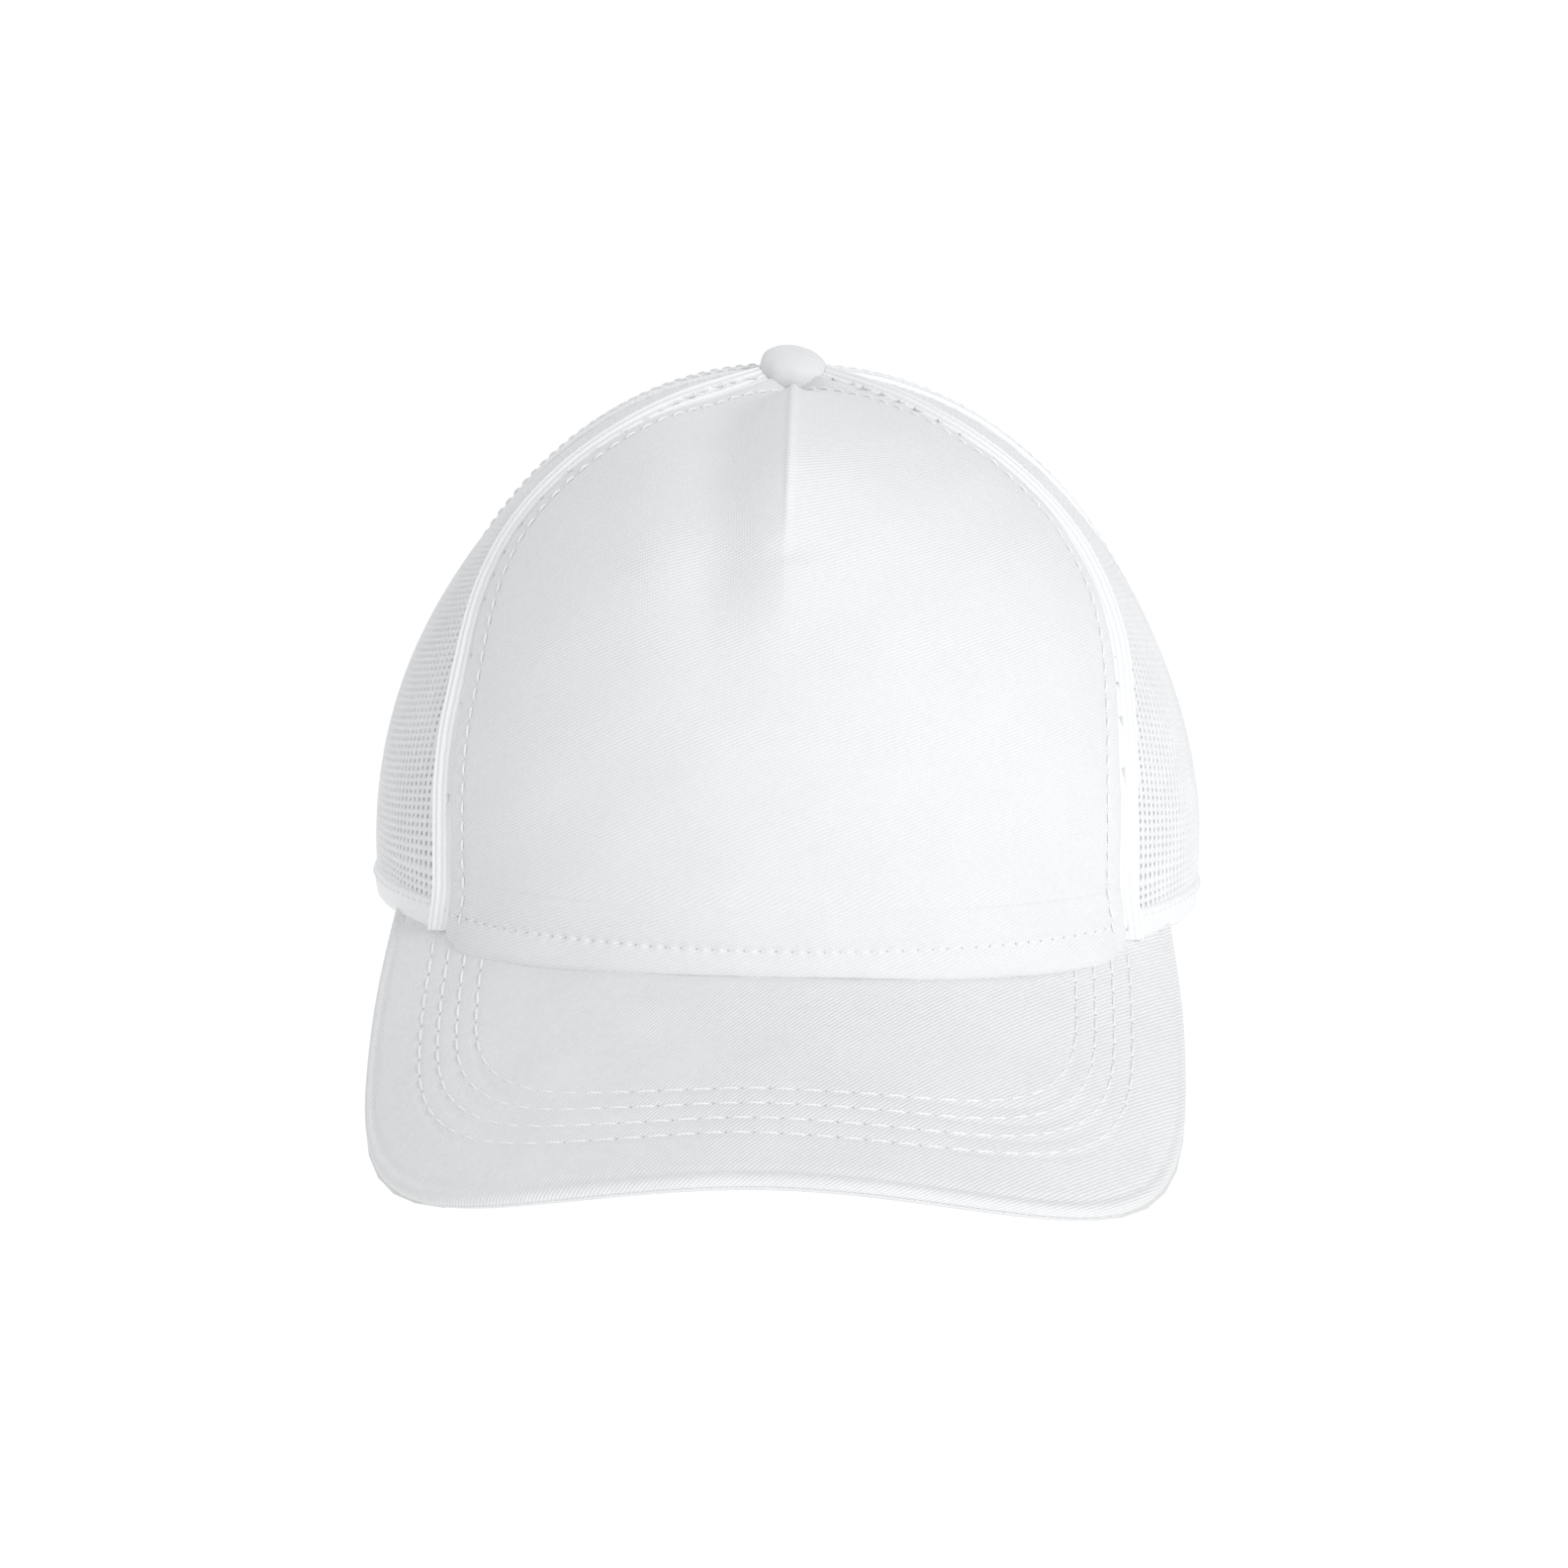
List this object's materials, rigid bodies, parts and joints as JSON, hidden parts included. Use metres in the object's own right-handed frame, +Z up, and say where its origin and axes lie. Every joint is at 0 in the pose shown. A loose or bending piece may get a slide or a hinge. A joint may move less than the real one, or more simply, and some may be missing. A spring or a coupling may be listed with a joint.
{
  "type": "trucker mesh cap",
  "caption": "White trucker cap with a foam-backed fabric front, net sides and rear, a curved stitched visor, a covered top button and a snap strap.",
  "frame": {"origin": "centre of the head opening, in the plane of the crown's lower edge", "axes": "+Z up through the button; the visor points to -Y; +X is the wearer's left"},
  "size_m": [0.176, 0.2528, 0.1642],
  "materials": {
    "twill": "matt white cotton twill",
    "net": "stiff white knitted polyester net",
    "foam": "off-white foam with a knitted backing",
    "tape": "white woven seam tape",
    "sweatband": "white cotton band",
    "binding": "white folded binding",
    "strap_plastic": "slightly translucent white moulded plastic",
    "visor_board": "stiff visor sheet",
    "button_metal": "pressed steel"
  },
  "bodies": {
    "crown": {"front_panel": "twill", "side_mesh_left": "net", "side_mesh_right": "net", "rear_mesh_left": "net", "rear_mesh_right": "net", "front_foam": "foam", "seam_tape_front_left": "tape", "seam_tape_front_right": "tape", "seam_tape_side_left": "tape", "seam_tape_side_right": "tape", "seam_tape_rear": "tape", "seam_tape_dart": "tape", "hem_tape_left": "tape", "hem_tape_right": "tape", "sweatband": "sweatband", "rear_arch_binding": "binding", "hole_strap_tab": "strap_plastic", "peg_strap_tab": "strap_plastic", "visor_board": "visor_board", "visor_cover_top": "twill", "visor_cover_under": "twill", "button_cover": "twill", "button_shell": "button_metal", "button_rivet": "button_metal"},
    "hole_strap": {"hole_strap": "strap_plastic"},
    "peg_strap": {"peg_strap": "strap_plastic"}
  },
  "joints": [
    {"name": "hole_strap_swing", "type": "hinge", "parent": "crown", "child": "hole_strap", "pos_m": [0.04356, 0.08583, 0.011], "axis": [0, 0, -1], "range_deg": [0, 75], "stiffness_Nm_per_rad": 0.05},
    {"name": "peg_strap_swing", "type": "hinge", "parent": "crown", "child": "peg_strap", "pos_m": [-0.04281, 0.08454, 0.011], "axis": [0, 0, -1], "range_deg": [0, 40], "stiffness_Nm_per_rad": 0.05}
  ]
}
